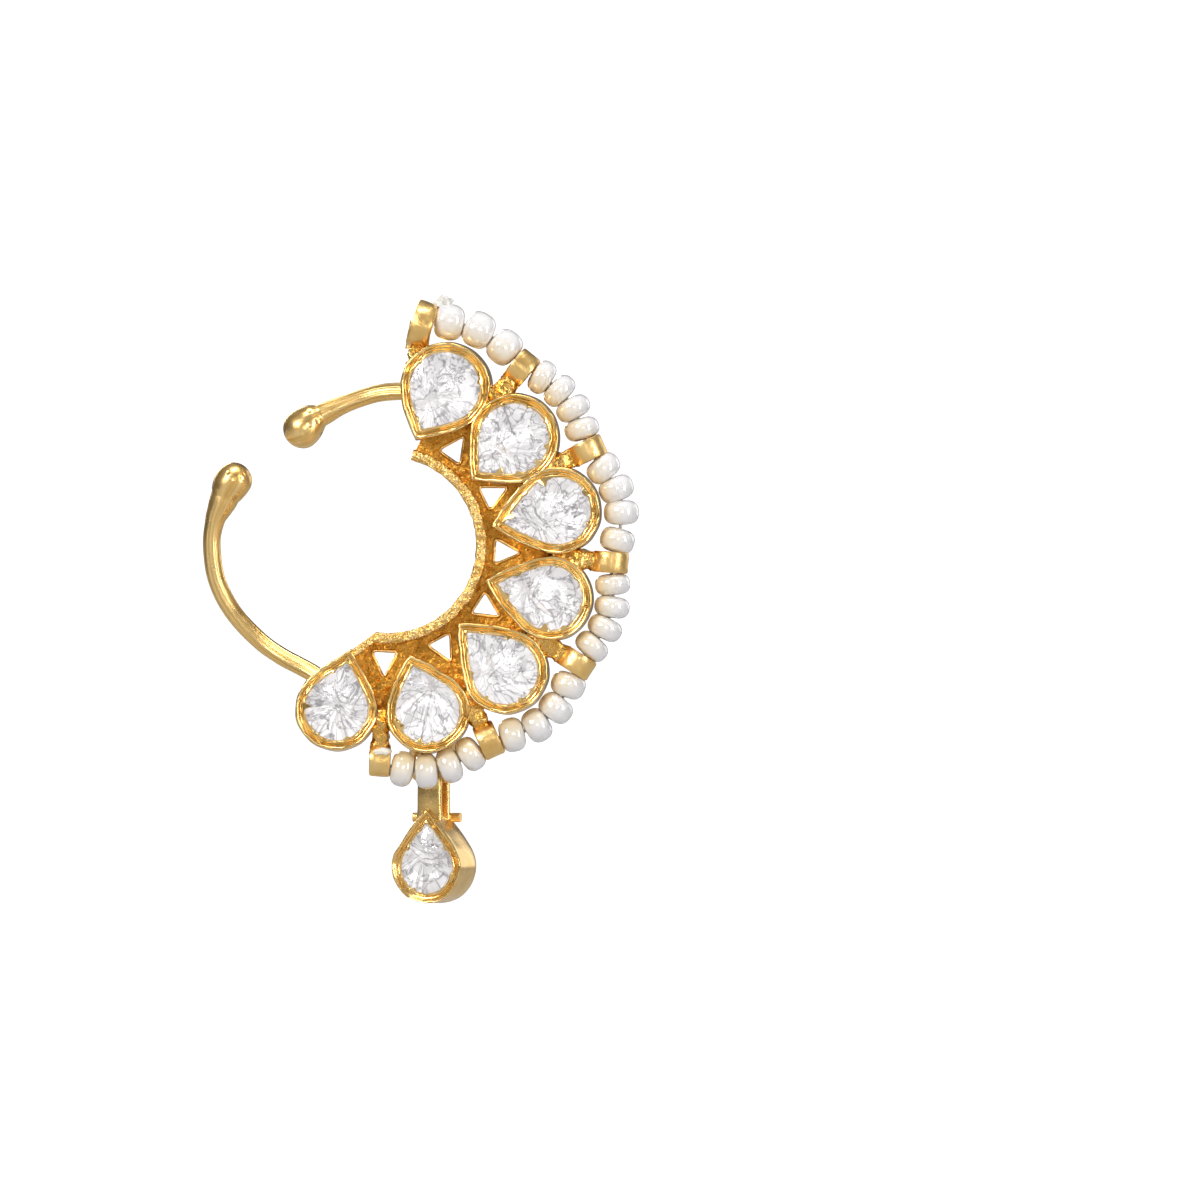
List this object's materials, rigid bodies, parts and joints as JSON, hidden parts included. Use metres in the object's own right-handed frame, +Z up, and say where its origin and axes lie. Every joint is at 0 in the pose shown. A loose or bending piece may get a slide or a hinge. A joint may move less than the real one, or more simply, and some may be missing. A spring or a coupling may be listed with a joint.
{
  "type": "press-on nose ring with pendant",
  "caption": "Press-on nose ring: crescent of pear-shaped stones on pierced gold, seed-pearl edge, open hoop with ball ends, small hanging stone pendant.",
  "frame": {"origin": "middle of the gap between the two ball ends, where the ring grips the nostril", "axes": "+Z up as worn; the stones face -Y and the flat back faces +Y, towards the nose; the hoop opens towards -X"},
  "size_m": [0.0258, 0.0058, 0.0355],
  "materials": {
    "gold": "satin warm yellow gold, hand filed and soldered",
    "clear_stone": "colourless rose-cut stone over silver foil",
    "nacre": "white seed pearl with a soft lustre",
    "thread": "off-white thread"
  },
  "bodies": {
    "ring": {"setting_frame": "gold", "stone_1": "clear_stone", "stone_2": "clear_stone", "stone_3": "clear_stone", "stone_4": "clear_stone", "stone_5": "clear_stone", "stone_6": "clear_stone", "stone_7": "clear_stone", "pearl_01": "nacre", "pearl_02": "nacre", "pearl_03": "nacre", "pearl_04": "nacre", "pearl_05": "nacre", "pearl_06": "nacre", "pearl_07": "nacre", "pearl_08": "nacre", "pearl_09": "nacre", "pearl_10": "nacre", "pearl_11": "nacre", "pearl_12": "nacre", "pearl_13": "nacre", "pearl_14": "nacre", "pearl_15": "nacre", "pearl_16": "nacre", "pearl_17": "nacre", "pearl_18": "nacre", "pearl_19": "nacre", "pearl_20": "nacre", "pearl_21": "nacre", "pearl_22": "nacre", "pearl_23": "nacre", "pearl_thread": "thread"},
    "pendant": {"pendant_setting": "gold", "pendant_stone": "clear_stone"}
  },
  "joints": [
    {"name": "pendant_swing", "type": "hinge", "parent": "ring", "child": "pendant", "pos_m": [0.00979, -0.00028, -0.019], "axis": [0.9527, -0.304, 0], "range_deg": [-25, 75]}
  ]
}
